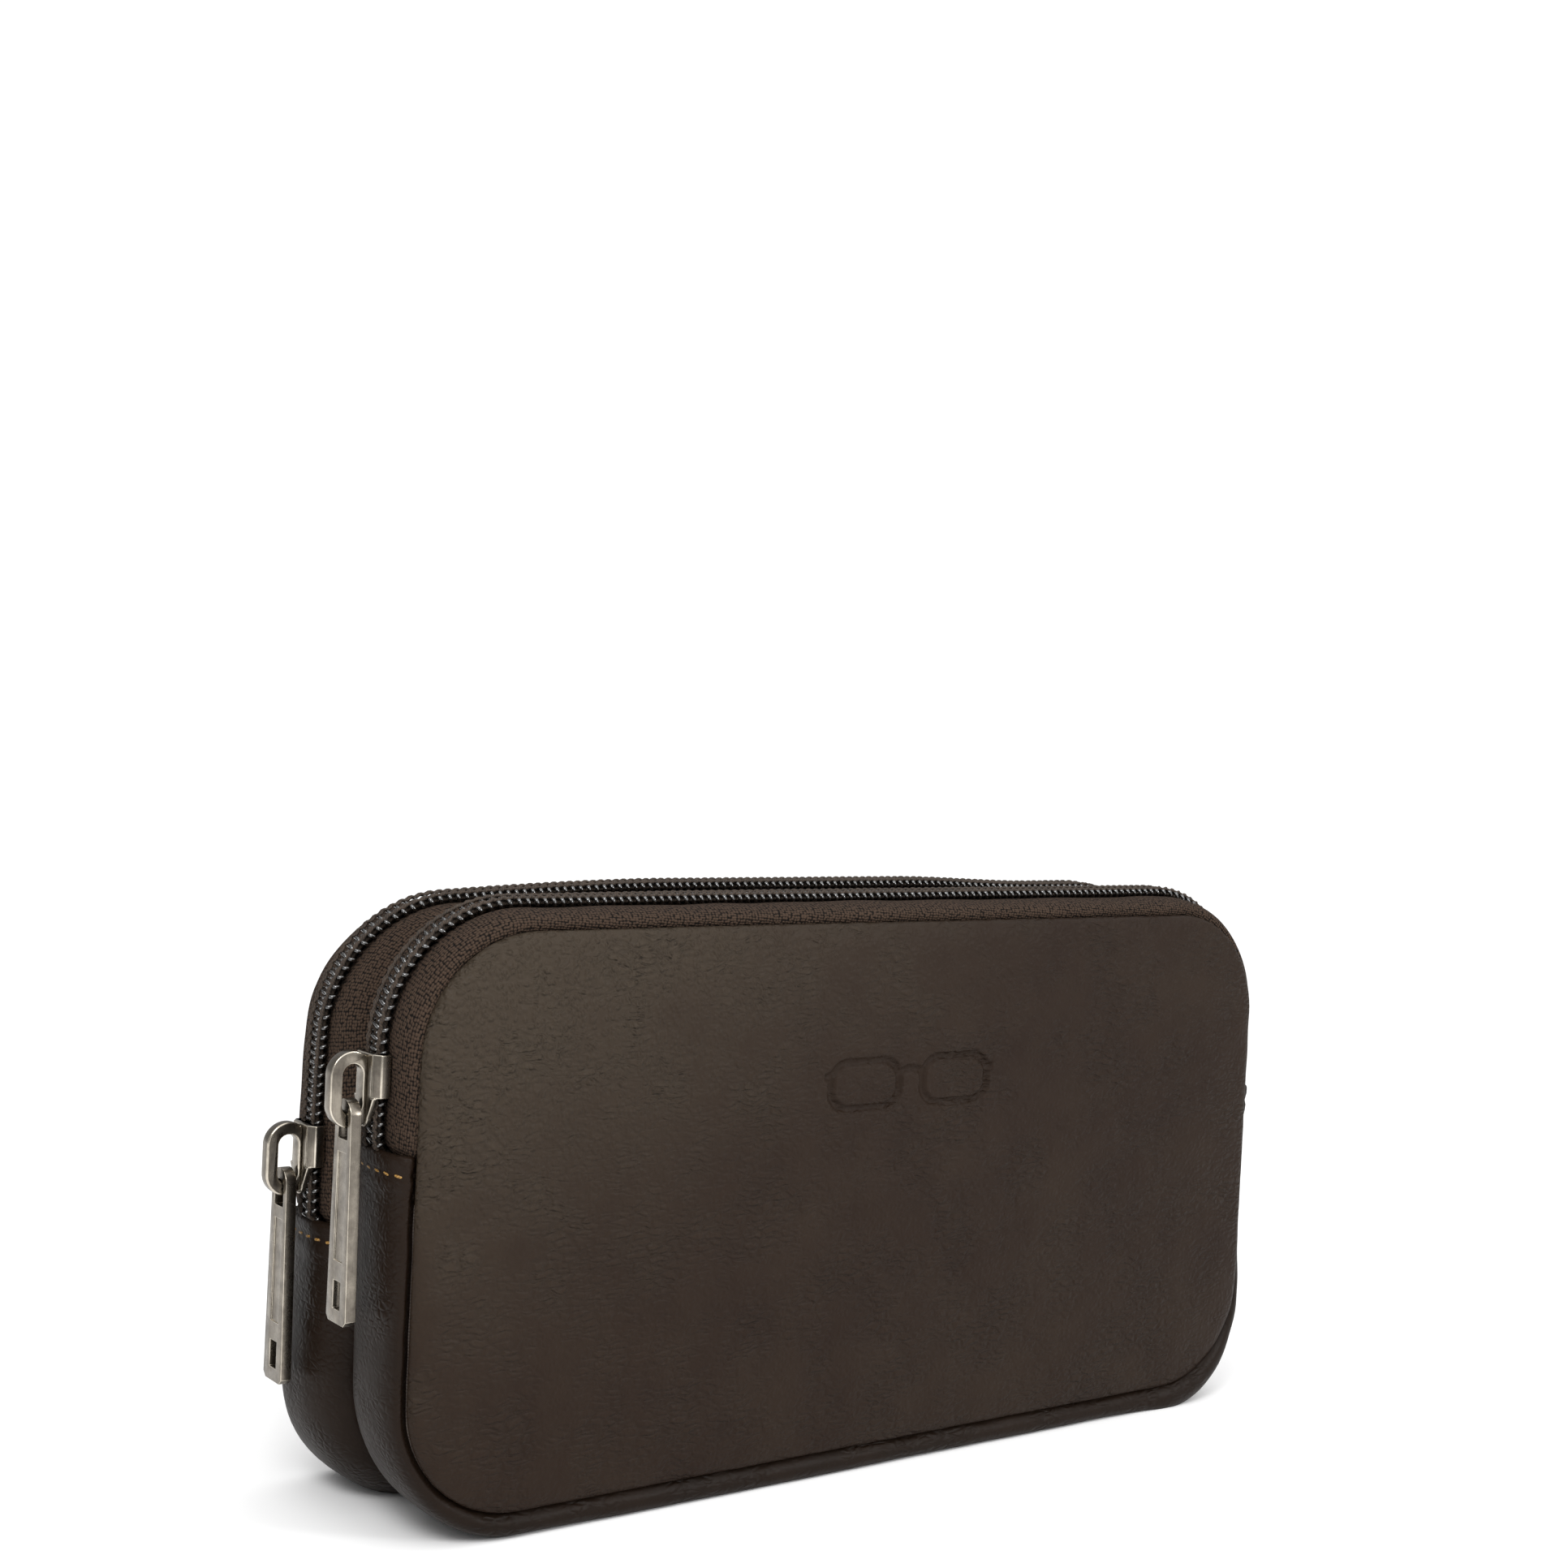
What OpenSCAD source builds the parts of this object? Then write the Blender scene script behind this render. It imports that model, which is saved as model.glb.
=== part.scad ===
// Zipped double glasses case in soft leather, standing on its narrow base.
// Two compartments lie side by side in depth. Each has its own bulging gusset,
// coil zip, slider and hanging pull tab. Front is -Y, sliders are on the -X side.

/* [Case] */
// Width of the front and rear panels
panel_w = 184; // [170:1:200]
// Height of the front and rear panels
panel_h = 94; // [88:1:110]
// Radius of the panels' corners
corner_r = 20; // [19:1:26]
// Distance from the middle seam to each panel seam
half_depth = 21; // [20.5:0.1:22]
// Thickness of the leather
leather_t = 1.1; // [0.9:0.1:1.2]
// Thickness of the foam behind each panel
padding_t = 1.8; // [1:0.1:2.4]
// Height of the flat that the soft base takes on under the case's weight
base_flat = 0.3; // [0.2:0.1:0.5]
// How far the gussets hang below the panels' seam along the base, in mm
base_drop = 1.6; // [0:0.1:2]

/* [Bulging walls] */
// Radius of each wall's round section
wall_r = 15.7; // [15.5:0.1:16]
// Distance from the middle seam to the ridge of each wall
ridge_y = 11.5; // [11.3:0.1:11.7]
// How far the zip tape's ridge stands outside the panels' outline
tape_rise = 1.8; // [1.6:0.1:3.4]

/* [Zips] */
// Height of the front gusset's folded ends above the base
front_hem_z = 62.7; // [57:0.1:64]
// Height of the rear gusset's folded ends above the base
rear_hem_z = 47.0; // [42:0.1:49]
// Width of one coil row
coil_w = 2.5; // [2.2:0.1:2.6]
// Height of the coil rows above the tape
coil_h = 1.8; // [1.5:0.1:1.8]
// Thickness of the zip tape
tape_t = 0.6; // [0.4:0.1:0.6]
// Slit between the two tapes of a zip
slit_w = 1.4; // [1.3:0.1:1.6]

/* [Sliders and pulls] */
// Height of the front slider's middle with the zip closed
front_slider_z = 71.9; // [71:0.1:73.5]
// Height of the rear slider's middle with the zip closed
rear_slider_z = 56.9; // [56:0.1:58]
// Length of the slider's top plate
slider_l = 11.6; // [11:0.1:12]
// Width of the slider over its wings
slider_w = 8.2; // [8:0.1:8.6]
// Thickness of the bridge strap
strap_t = 2.0; // [1.6:0.1:2]
// Width of the bridge strap
strap_w = 2.2; // [1.8:0.1:2.2]
// Length of the pull tab below its pivot
pull_l = 34.2; // [30:0.1:36]
// Width of the pull tab at its eye
pull_top_w = 5.5; // [5.4:0.1:6]
// Width of the pull tab at its free end
pull_end_w = 6.9; // [6:0.1:7.4]
// Thickness of the pull tab
pull_t = 1.8; // [1.4:0.1:1.8]

/* [Hidden] */
$fn = 96;
big = 400;

leather = "#3A302A";
tape_brown = "#463B36";
coil_black = "#17120F";
nickel = "#8D877E";
thread_ochre = "#A8742F";
foam_grey = "#55504C";
cloth_brown = "#2C2521";

// Outline of the walls: the leather skin stands one leather thickness outside the tape
gap = 0.1;
skin_r = wall_r + gap + leather_t;
circle_g = tape_rise - wall_r;
skin_rise = circle_g + skin_r;
panel_z0 = skin_rise + base_drop - base_flat;
panel_z1 = panel_z0 + panel_h;
half_w = panel_w / 2;
corner_x = half_w - corner_r;
corner_z0 = panel_z0 + corner_r;
corner_z1 = panel_z1 - corner_r;

// Edges of the walls in depth, measured from the middle seam
wall_front = half_depth + 0.3;
wall_back = 0.3;
chain_y = 11.3;
tape_tuck = 8;
lining_t = 0.5;
cloth_t = 0.4;
padding_inset = 3.9;

// Slider levels, measured outwards from the panels' outline
plate_g = tape_rise + 2.1;
plate_t = 1.0;
plate_top_g = plate_g + plate_t;
wing_g = tape_rise + 0.5;
wing_t = 0.7;
wing_l = 6.8;
keeper_g = tape_rise - 3.1;
keeper_t = 0.8;
keeper_w = 5.2;
keeper_z = [-2.3, 5];
post_w = 0.9;
post_z = [-2.3, -0.2];
nose_r = 1.5;

// Bridge and pull, measured from the slider's middle
bridge_in_r = 1.7;
bridge_out_r = bridge_in_r + strap_t;
pivot_g = plate_top_g + 2.3;
pivot_z = -2.1;
bridge_top_z = 2.5;
eye_w = 3.3;
eye_top = 0.95;
eye_end = 5.4;
arch_top = 0.85;

// The case stands off centre by this much, so that the whole object's box is centred
case_x = (pivot_g + bridge_out_r - tape_rise - coil_h) / 2;

// ---- outline helpers ----

// The panels' rounded outline, grown outwards by g, drawn flat in X and Z
module outline(g) {
    r = corner_r + g;
    translate([0, (panel_z0 + panel_z1) / 2]) {
        square([2 * corner_x, panel_h + 2 * g], center = true);
        square([panel_w + 2 * g, panel_h - 2 * corner_r], center = true);
        for (sx = [-1, 1], sz = [-1, 1]) {
            translate([sx * corner_x, sz * (panel_h / 2 - corner_r)]) circle(r);
        }
    }
}

// Extrudes a flat X-Z drawing from depth y0 to depth y1 in front of the middle seam
module slab(y0, y1) {
    translate([0, -y0, 0]) rotate([90, 0, 0]) linear_extrude(y1 - y0) children();
}

// Section of a bulging wall between two radii and two depths, seen as (out, depth)
module wall_section(r0, r1, y0, y1) {
    intersection() {
        translate([circle_g, ridge_y]) difference() {
            circle(r1);
            circle(r0);
        }
        translate([-6, y0]) square([14, y1 - y0]);
    }
}

// Runs a wall section up the left or the right side between two heights
module side_run(side, z0, z1) {
    translate([side * half_w, 0, z0]) mirror([side < 0 ? 1 : 0, 0, 0]) mirror([0, 1, 0])
        linear_extrude(z1 - z0) children();
}

// Runs a wall section along the top (side 1) or the base (side -1)
module flat_run(side) {
    z = side > 0 ? panel_z1 : panel_z0 - base_drop;
    translate([-corner_x, 0, z]) mirror([0, 0, side > 0 ? 1 : 0]) mirror([0, 1, 0])
        rotate([0, 90, 0]) linear_extrude(2 * corner_x) children();
}

// Turns a wall section round one corner, starting at the given angle
module corner_run(cx, cz, start) {
    translate([cx, 0, cz]) rotate([90, 0, 0]) rotate([0, 0, start])
        rotate_extrude(angle = 90) translate([corner_r, 0]) children();
}

// The lower wall: down one side, along the base and up the other side
module lower_run(z_end) {
    z0 = corner_z0 - base_drop;
    for (side = [-1, 1]) side_run(side, z0, z_end) children();
    flat_run(-1) children();
    corner_run(-corner_x, z0, 180) children();
    corner_run(corner_x, z0, 270) children();
}

// The upper wall: up one side, along the top and down the other side
module upper_run(z_end) {
    for (side = [-1, 1]) side_run(side, z_end, corner_z1) children();
    flat_run(1) children();
    corner_run(-corner_x, corner_z1, 90) children();
    corner_run(corner_x, corner_z1, 0) children();
}

// Puts a piece in the front compartment
module front() {
    translate([case_x, 0, 0]) children();
}

// Puts a piece drawn for the front compartment in the rear one
module rear() {
    translate([case_x, 0, 0]) mirror([0, 1, 0]) children();
}

// ---- soft pieces, drawn for the front compartment ----

module panel() {
    color(leather) slab(wall_front + gap, wall_front + gap + leather_t) outline(0);
}

module panel_padding() {
    color(foam_grey) slab(wall_front + gap - padding_t, wall_front + gap) outline(-padding_inset);
}

module panel_lining() {
    y = wall_front + gap - padding_t;
    color(cloth_brown) slab(y - cloth_t, y) outline(-padding_inset);
}

module divider_lining() {
    color(cloth_brown) slab(wall_back, wall_back + cloth_t) outline(-5);
}

module divider() {
    color(leather) slab(-0.25, 0.25) outline(-3.1);
}

module gusset(hem_z) {
    color(leather) difference() {
        lower_run(hem_z) wall_section(wall_r + gap, skin_r, wall_back, wall_front);
        translate([-big / 2, -big / 2, -big]) cube(big);
    }
}

module gusset_lining(hem_z) {
    r = wall_r - tape_t - gap;
    color(cloth_brown) lower_run(hem_z) wall_section(r - lining_t, r, wall_back, wall_front);
}

module outer_tape(hem_z) {
    color(tape_brown) upper_run(hem_z - tape_tuck)
        wall_section(wall_r - tape_t, wall_r, chain_y + slit_w / 2, wall_front);
}

module inner_tape(hem_z) {
    color(tape_brown) upper_run(hem_z - tape_tuck)
        wall_section(wall_r - tape_t, wall_r, wall_back, chain_y - slit_w / 2);
}

module coil(hem_z, side) {
    y = side > 0 ? chain_y + slit_w / 2 : chain_y - slit_w / 2 - coil_w;
    color(coil_black) upper_run(hem_z + gap * 3)
        wall_section(wall_r, wall_r + coil_h, y, y + coil_w);
}

// Contrast stitches across both folded gusset ends, each a separate short thread
module hem_stitches(hem_z) {
    thread_r = 0.25;
    stitch_l = 2;
    pitch = 2.8;
    drop = 3.2;
    lift = 0.02;
    step = pitch / skin_r * 180 / PI;
    for (side = [-1, 1], i = [-3:3]) {
        color(thread_ochre) translate([side * (half_w + circle_g), -ridge_y, hem_z - drop])
            rotate([0, 0, side > 0 ? i * step : 180 + i * step])
                translate([skin_r + thread_r + lift, 0, 0]) rotate([90, 0, 0])
                    cylinder(r = thread_r, h = stitch_l, center = true);
    }
}

// ---- hardware, drawn round the slider's middle with +X pointing outwards ----

// Stands a piece of hardware on the left side wall at the chain
module on_wall(z) {
    translate([-half_w, -chain_y, z]) mirror([1, 0, 0]) children();
}

// Cuts a drawing in (depth, height) to a plate between two levels
module plate(g0, g1) {
    translate([g0, 0, 0]) rotate([90, 0, 90]) linear_extrude(g1 - g0) children();
}

module slider_body() {
    w = slider_w / 2;
    flat = w - 1.5;
    inner = w - wing_t;
    top = slider_l / 2;
    wing_z = top - wing_l;
    color(nickel) union() {
        // Top plate with bevelled wings that fold down beside the coils
        translate([0, 0, wing_z]) linear_extrude(wing_l) polygon([
            [wing_g, -w], [plate_g, -w], [plate_top_g, -flat], [plate_top_g, flat],
            [plate_g, w], [wing_g, w], [wing_g, inner], [plate_g, inner],
            [plate_g, -inner], [wing_g, -inner]
        ]);
        // Tapered nose that points at the zip's end
        plate(plate_g, plate_top_g) {
            polygon([[-inner, wing_z], [inner, wing_z], [nose_r, nose_r - top], [-nose_r, nose_r - top]]);
            translate([0, nose_r - top]) circle(nose_r);
        }
        // Post between the coil rows, and the keeper plate behind the tapes
        translate([keeper_g, -post_w / 2, post_z[0]])
            cube([plate_g - keeper_g, post_w, post_z[1] - post_z[0]]);
        translate([keeper_g - keeper_t, -keeper_w / 2, keeper_z[0]])
            cube([keeper_t, keeper_w, keeper_z[1] - keeper_z[0]]);
    }
}

// A stadium in (out, height) round the pivot, up to the bridge's top
module bridge_loop(r) {
    translate([pivot_g, pivot_z]) circle(r);
    translate([pivot_g, bridge_top_z]) circle(r);
    translate([pivot_g - r, pivot_z]) square([2 * r, bridge_top_z - pivot_z]);
}

module slider_bridge() {
    color(nickel) translate([0, strap_w / 2, 0]) rotate([90, 0, 0]) linear_extrude(strap_w)
        difference() {
            bridge_loop(bridge_out_r);
            bridge_loop(bridge_in_r);
            translate([plate_top_g - 10, -20]) square([10, 40]);
        }
}

// Pull tab hanging from the bridge: arched eye, plain groove and a small window
module pull_tab() {
    groove_d = 0.25;
    window_w = 2.5;
    window_h = 4.4;
    color(nickel) translate([pivot_g, 0, pivot_z]) difference() {
        union() {
            plate(-pull_t / 2, pull_t / 2) translate([0, arch_top - pull_top_w / 2])
                circle(pull_top_w / 2);
            plate(-pull_t / 2, pull_t / 2) pull_bar();
        }
        plate(-pull_t, pull_t) translate([0, -eye_top - eye_w / 2]) circle(eye_w / 2);
        plate(-pull_t, pull_t) translate([-eye_w / 2, -eye_end])
            square([eye_w, eye_end - eye_top - eye_w / 2]);
        plate(-pull_t, pull_t) translate([-window_w / 2, 2.2 - pull_l]) square([window_w, window_h]);
        for (side = [-1, 1]) {
            translate([side * pull_t / 2, 0, -16]) cube([2 * groove_d, 3, 17], center = true);
        }
    }
}

// Outline of the pull's tapered bar below its arch, in (depth, height)
module pull_bar() {
    top = pull_top_w / 2;
    end = pull_end_w / 2;
    cut = 0.8;
    polygon([
        [-top, arch_top - top], [top, arch_top - top],
        [end, cut - pull_l], [end - cut, -pull_l], [cut - end, -pull_l], [-end, cut - pull_l]
    ]);
}

// ---- nodes ----

module front_panel() { front() panel(); }
module front_panel_padding() { front() panel_padding(); }
module front_panel_lining() { front() panel_lining(); }
module front_gusset() { front() gusset(front_hem_z); }
module front_gusset_lining() { front() gusset_lining(front_hem_z - tape_tuck); }
module front_hem_stitches() { front() hem_stitches(front_hem_z); }
module front_outer_tape() { front() outer_tape(front_hem_z); }
module front_inner_tape() { front() inner_tape(front_hem_z); }
module front_outer_coil() { front() coil(front_hem_z, 1); }
module front_inner_coil() { front() coil(front_hem_z, -1); }
module front_divider_lining() { front() divider_lining(); }
module front_slider_body() { front() on_wall(front_slider_z) slider_body(); }
module front_slider_bridge() { front() on_wall(front_slider_z) slider_bridge(); }
module front_pull_tab() { front() on_wall(front_slider_z) pull_tab(); }
module divider_board() { front() divider(); }
module rear_panel() { rear() panel(); }
module rear_panel_padding() { rear() panel_padding(); }
module rear_panel_lining() { rear() panel_lining(); }
module rear_gusset() { rear() gusset(rear_hem_z); }
module rear_gusset_lining() { rear() gusset_lining(rear_hem_z - tape_tuck); }
module rear_hem_stitches() { rear() hem_stitches(rear_hem_z); }
module rear_outer_tape() { rear() outer_tape(rear_hem_z); }
module rear_inner_tape() { rear() inner_tape(rear_hem_z); }
module rear_outer_coil() { rear() coil(rear_hem_z, 1); }
module rear_inner_coil() { rear() coil(rear_hem_z, -1); }
module rear_divider_lining() { rear() divider_lining(); }
module rear_slider_body() { rear() on_wall(rear_slider_z) slider_body(); }
module rear_slider_bridge() { rear() on_wall(rear_slider_z) slider_bridge(); }
module rear_pull_tab() { rear() on_wall(rear_slider_z) pull_tab(); }

front_panel();
front_panel_padding();
front_panel_lining();
front_gusset();
front_gusset_lining();
front_hem_stitches();
front_outer_tape();
front_inner_tape();
front_outer_coil();
front_inner_coil();
front_divider_lining();
front_slider_body();
front_slider_bridge();
front_pull_tab();
divider_board();
rear_panel();
rear_panel_padding();
rear_panel_lining();
rear_gusset();
rear_gusset_lining();
rear_hem_stitches();
rear_outer_tape();
rear_inner_tape();
rear_outer_coil();
rear_inner_coil();
rear_divider_lining();
rear_slider_body();
rear_slider_bridge();
rear_pull_tab();
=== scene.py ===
# %% [markdown]
# # A zipped glasses case with two compartments
#
# This lesson dresses a finished CAD assembly of a soft leather case. The CAD model already
# fixes every size and every moving part. Here each soft or metal piece gets the shape and the
# surface that the real one has: bulging leather, woven tape, nylon coils and worn nickel.
#
# First we load the assembly. The boxes of its parts give the sizes used below. The looks may
# not outgrow it.

# %% Load the assembly
import math

import bpy
import numpy as np
from mathutils import Matrix, Vector, noise


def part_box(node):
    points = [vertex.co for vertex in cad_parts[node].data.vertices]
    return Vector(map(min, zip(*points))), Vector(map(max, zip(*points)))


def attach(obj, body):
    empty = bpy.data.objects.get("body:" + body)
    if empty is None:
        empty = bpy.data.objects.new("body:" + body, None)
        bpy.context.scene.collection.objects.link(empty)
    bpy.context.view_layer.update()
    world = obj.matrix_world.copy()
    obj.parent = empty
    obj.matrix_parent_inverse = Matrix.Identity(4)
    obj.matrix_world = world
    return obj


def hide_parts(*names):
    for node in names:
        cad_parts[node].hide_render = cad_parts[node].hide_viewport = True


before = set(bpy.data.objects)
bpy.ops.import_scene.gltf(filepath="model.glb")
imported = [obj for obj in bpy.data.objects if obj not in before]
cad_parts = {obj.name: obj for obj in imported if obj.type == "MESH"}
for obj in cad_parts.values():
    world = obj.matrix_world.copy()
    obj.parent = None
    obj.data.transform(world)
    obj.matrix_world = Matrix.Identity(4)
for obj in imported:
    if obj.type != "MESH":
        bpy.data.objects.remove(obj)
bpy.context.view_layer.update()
print("CAD nodes:", len(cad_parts))

# %% [markdown]
# ## The camera
#
# The camera goes in before anything else, so that every later choice can be judged through it.
# It stands at the case's front left corner, a little above its top, on a 52 mm lens, and it is
# rolled by two and a half degrees, as a camera held by hand often is.

# %% Camera
MM = 0.001
CAMERA_PLACE = Vector((-251.1, -333.4, 134.2)) * MM
CAMERA_TURN = math.radians(-36.23)
CAMERA_PITCH = math.radians(1.93)
CAMERA_ROLL = math.radians(2.66)
LENS, SENSOR_WIDTH = 52.5, 36.0  # in mm, as camera makers give them


def add_camera():
    back = Vector((
        math.sin(CAMERA_TURN) * math.cos(CAMERA_PITCH),
        -math.cos(CAMERA_TURN) * math.cos(CAMERA_PITCH),
        math.sin(CAMERA_PITCH),
    ))
    right = Vector((math.cos(CAMERA_TURN), math.sin(CAMERA_TURN), 0))
    up = back.cross(right)
    c, s = math.cos(CAMERA_ROLL), math.sin(CAMERA_ROLL)
    axes = (c * right + s * up, c * up - s * right, back)
    lens = bpy.data.cameras.new("camera")
    lens.lens, lens.sensor_width = LENS, SENSOR_WIDTH
    lens.clip_start, lens.clip_end = 0.01, 50
    camera = bpy.data.objects.new("camera", lens)
    camera.matrix_world = Matrix.Translation(CAMERA_PLACE) @ Matrix(axes).transposed().to_4x4()
    bpy.context.scene.collection.objects.link(camera)
    bpy.context.scene.camera = camera
    return camera


camera = add_camera()
print("camera stands", round(camera.location.length, 3), "m from the case's foot")

# %% [markdown]
# ## Floor, backdrop light and softboxes
#
# A dark case reads best on plain white. One large plane is the floor, and the world gives the
# even white of a light tent. The tent is brighter where the camera looks past the case than it
# is as a light, or it would wash out the dark leather. One very broad lamp overhead gives the
# soft light from above. Two small softboxes, at the front right and the front left, shape the
# leather and put the thin light on the rolled edges, the coils and the metal.

# %% Studio
def srgb(hex_code):
    """A colour as people write it, turned into the linear values that shaders work in."""
    parts = [int(hex_code[i:i + 2], 16) / 255 for i in (1, 3, 5)]
    return (*[p / 12.92 if p <= 0.04045 else ((p + 0.055) / 1.055) ** 2.4 for p in parts], 1.0)


def set_inputs(tree, node, inputs):
    """An input's value is a number, a colour or another node's output."""
    for key, value in inputs.items():
        if isinstance(value, bpy.types.NodeSocket):
            tree.links.new(value, node.inputs[key])
        else:
            node.inputs[key].default_value = value


def add_node(tree, kind, inputs=None, **settings):
    made = tree.nodes.new(kind)
    for key, value in settings.items():
        setattr(made, key, value)
    set_inputs(tree, made, inputs or {})
    return made


def new_material(name):
    material = bpy.data.materials.new(name)
    material.use_nodes = True
    tree = material.node_tree
    shader = tree.nodes["Principled BSDF"]
    return material, tree, shader


def cover(piece, *finishes):
    """Puts finishes on a piece. The first one goes all over it."""
    piece.data.materials.clear()
    for finish in finishes:
        piece.data.materials.append(finish)


def add_softbox(name, place, target, width, height, power):
    lamp = bpy.data.lights.new(name, "AREA")
    lamp.shape, lamp.size, lamp.size_y, lamp.energy = "RECTANGLE", width, height, power
    box = bpy.data.objects.new(name, lamp)
    box.location = place
    box.rotation_euler = (Vector(target) - Vector(place)).to_track_quat("-Z", "Y").to_euler()
    bpy.context.scene.collection.objects.link(box)


FLOOR_WIDTH = 12  # in metres, far wider than any view of so small a case


def add_floor():
    bpy.ops.mesh.primitive_plane_add(size=FLOOR_WIDTH, location=(0, 0, 0))
    floor = bpy.context.object
    floor.name = "studio_floor"
    material, tree, shader = new_material("white_studio_paper")
    set_inputs(tree, shader, {"Base Color": (0.98, 0.98, 0.98, 1), "Roughness": 0.9})
    cover(floor, material)


TENT_LIGHT, TENT_BACKDROP = 0.4, 1.1


def add_world():
    """Pure white where the camera looks past the object, and dimmer as a light on it."""
    world = bpy.data.worlds.new("white_tent")
    world.use_nodes = True
    tree = world.node_tree
    seen = add_node(tree, "ShaderNodeLightPath").outputs["Is Camera Ray"]
    strength = add_node(tree, "ShaderNodeMapRange",
                        {"Value": seen, "To Min": TENT_LIGHT, "To Max": TENT_BACKDROP})
    set_inputs(tree, tree.nodes["Background"],
               {"Color": (1, 1, 1, 1), "Strength": strength.outputs["Result"]})
    bpy.context.scene.world = world


def add_sun(name, place, strength, spread):
    lamp = bpy.data.lights.new(name, "SUN")
    lamp.energy, lamp.angle = strength, math.radians(spread)
    sun = bpy.data.objects.new(name, lamp)
    sun.location = place
    sun.rotation_euler = (-Vector(place)).to_track_quat("-Z", "Y").to_euler()
    bpy.context.scene.collection.objects.link(sun)


add_world()
bpy.context.scene.view_settings.view_transform = "Standard"
add_floor()
add_sun("overhead_bank", (0.1, -0.36, 0.95), 2.5, 110)
add_softbox("right_softbox", (0.34, -0.62, 0.3), (-0.03, 0, 0.07), 0.12, 0.12, 1.6)
add_softbox("left_softbox", (-0.34, -0.3, 0.42), (-0.07, 0, 0.08), 0.18, 0.18, 1.3)
print("studio ready")

# %% [markdown]
# ## The line that every strip is sewn along
#
# Gusset, tapes and coils all run round the same rounded rectangle: the seam of the panel. A
# place on it is one number, the way along the seam in metres from the middle of the base,
# counted up the left side. From it come a base point and an outward direction, and both change
# evenly, so plain interpolation gives the straight sides and the round corners exactly.

# %% The seam line
panel_low, panel_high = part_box("front_panel")
MIDDLE_X = (panel_low.x + panel_high.x) / 2
BASE_Z, TOP_Z = panel_low.z, panel_high.z
CORNER = 20 * MM
STRAIGHT_X = (panel_high.x - panel_low.x) / 2 - CORNER
STRAIGHT_Z = TOP_Z - BASE_Z - 2 * CORNER
ARC = CORNER * math.pi / 2

runs = [STRAIGHT_X, ARC, STRAIGHT_Z, ARC, 2 * STRAIGHT_X, ARC, STRAIGHT_Z, ARC, STRAIGHT_X]
STOPS = np.concatenate([[0], np.cumsum(runs)])
AROUND = STOPS[-1]
FRONT, REAR = -1, 1
left_x, right_x = MIDDLE_X - STRAIGHT_X, MIDDLE_X + STRAIGHT_X
low_z, high_z = BASE_Z + CORNER, TOP_Z - CORNER
BASE_XS = [MIDDLE_X, left_x, left_x, left_x, left_x, right_x, right_x, right_x, right_x, MIDDLE_X]
BASE_ZS = [low_z, low_z, low_z, high_z, high_z, high_z, high_z, low_z, low_z, low_z]
ANGLES = np.radians([270, 270, 180, 180, 90, 90, 0, 0, -90, -90])


# The soft case has sunk: at both ends of its top, and at the top left corner, mostly at the
# rear. The front slider rides over its own corner, so the front keeps nearly its full height.
SAG_LEFT = {FRONT: 0.15 * MM, REAR: 0.9 * MM}
SAG_RIGHT = {FRONT: 0.0, REAR: 1.1 * MM}
CORNER_SLACK = {FRONT: 0.0, REAR: 1.25 * MM}


def soft_step(value):
    """Runs from 0 to 1 with a soft start and a soft stop."""
    value = np.clip(value, 0, 1)
    return value * value * (3 - 2 * value)


def sag(x, z, side):
    """How far the soft top has sunk at a place on the case."""
    high = soft_step((z - 60 * MM) / (35 * MM))
    left = SAG_LEFT[side] * soft_step((-x - 25 * MM) / (40 * MM))
    right = SAG_RIGHT[side] * soft_step((x - 30 * MM) / (35 * MM))
    return high * (left + right)


def round_the_case(along, out, depth, side):
    """Places on the case: along the seam, outwards from it, and in depth from the middle."""
    top_left = STOPS[3] + 0.55 * ARC
    out = out - CORNER_SLACK[side] * np.exp(-((along - top_left) / (19 * MM)) ** 2)
    s = np.mod(along, AROUND)
    angle = np.interp(s, STOPS, ANGLES)
    reach = CORNER + out
    x = np.interp(s, STOPS, BASE_XS) + reach * np.cos(angle)
    z = np.interp(s, STOPS, BASE_ZS) + reach * np.sin(angle)
    z = z - sag(x, z, side)
    return np.stack([x, side * depth, z], axis=-1)


def along_at_height(z):
    """The way along the seam to a height on the straight left side."""
    return STRAIGHT_X + ARC + z - low_z


print("the seam is", round(AROUND * 1000), "mm long")

# %% [markdown]
# ## A flat grid that is bent into place
#
# Leather, tape and cloth are all cut flat and then bent as they are sewn, so that is how they
# are made here. A grid primitive is added flat, and each of its points is carried to its place
# on the case. The UV map keeps the flat cut's own sizes in metres, so a weave or a grain
# follows the piece round the corners. The grid knows its columns and rows, which makes it easy
# to say where each one goes.

# %% Flat grid helpers
def deselect_all():
    for thing in bpy.context.selected_objects:
        thing.select_set(False)


def make_active(piece):
    deselect_all()
    piece.select_set(True)
    bpy.context.view_layer.objects.active = piece


def flat_grid(name, columns, rows):
    """A grid with its corners' column and row numbers, ready to be bent."""
    deselect_all()
    bpy.ops.mesh.primitive_grid_add(x_subdivisions=columns, y_subdivisions=rows, size=1)
    piece = bpy.context.object
    piece.name = piece.data.name = name
    flat = np.zeros(len(piece.data.vertices) * 3)
    piece.data.vertices.foreach_get("co", flat)
    flat = flat.reshape(-1, 3) + 0.5
    column = np.rint(flat[:, 0] * columns).astype(int)
    row = np.rint(flat[:, 1] * rows).astype(int)
    return piece, column, row


def bend_grid(piece, places, u, v):
    """Moves the grid's points to their places, and lays its UV map out in metres."""
    mesh = piece.data
    mesh.vertices.foreach_set("co", np.asarray(places, float).ravel())
    corners = np.zeros(len(mesh.loops), int)
    mesh.loops.foreach_get("vertex_index", corners)
    uv = np.stack([np.asarray(u)[corners], np.asarray(v)[corners]], axis=1)
    mesh.uv_layers[0].data.foreach_set("uv", uv.ravel())
    mesh.update()


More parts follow.
